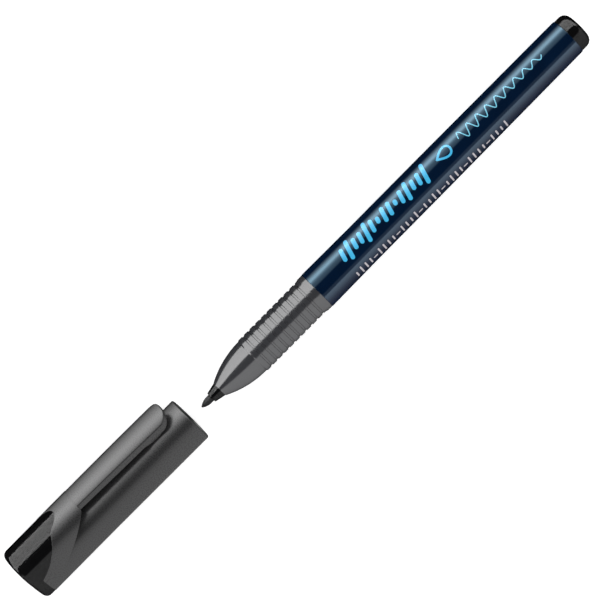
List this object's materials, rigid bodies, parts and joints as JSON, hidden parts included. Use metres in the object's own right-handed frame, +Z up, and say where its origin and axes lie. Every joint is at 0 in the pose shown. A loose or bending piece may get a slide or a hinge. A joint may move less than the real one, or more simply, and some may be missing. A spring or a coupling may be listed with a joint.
{
  "type": "felt tip marker",
  "caption": "Fine fibre-tip marker with a ribbed grip, a pull-off cap and a springy pocket clip, shown with the cap drawn off in line.",
  "frame": {"origin": "on the pen's axis, in the middle of the barrel's cylindrical land", "axes": "+X along the pen's axis towards the end plug, +Z up, +Y across the pen; the clip stands 50 degrees from +Z towards +Y"},
  "size_m": [0.1836, 0.0151, 0.0146],
  "materials": {
    "barrel_navy": "gloss, moulded polypropylene",
    "gloss_black": "gloss, moulded",
    "grip_grey": "satin, moulded",
    "nib_fibre": "ink-soaked bonded fibre",
    "reservoir_fibre": "ink-soaked fibre bundle",
    "film_clear": "thin extruded film",
    "cap_grey": "fine spark-eroded satin",
    "seal_natural": "natural polyethylene"
  },
  "bodies": {
    "pen": {"barrel": "barrel_navy", "end_plug": "gloss_black", "grip_section": "grip_grey", "nib_holder": "gloss_black", "nib": "nib_fibre", "ink_reservoir": "reservoir_fibre", "reservoir_film": "film_clear"},
    "cap": {"cap_sleeve": "cap_grey", "cap_end_insert": "gloss_black", "inner_seal_cup": "seal_natural"},
    "clip": {"pocket_clip": "cap_grey"}
  },
  "joints": [
    {"name": "cap_slide", "type": "slide", "parent": "pen", "child": "cap", "axis": [1, 0, 0], "range_m": [0, 0.0422]},
    {"name": "clip_flex", "type": "hinge", "parent": "cap", "child": "clip", "pos_m": [-0.1026, 0.00728, 0.00611], "axis": [0, -0.6428, 0.766], "range_deg": [0, 4], "stiffness_Nm_per_rad": 1.5}
  ]
}
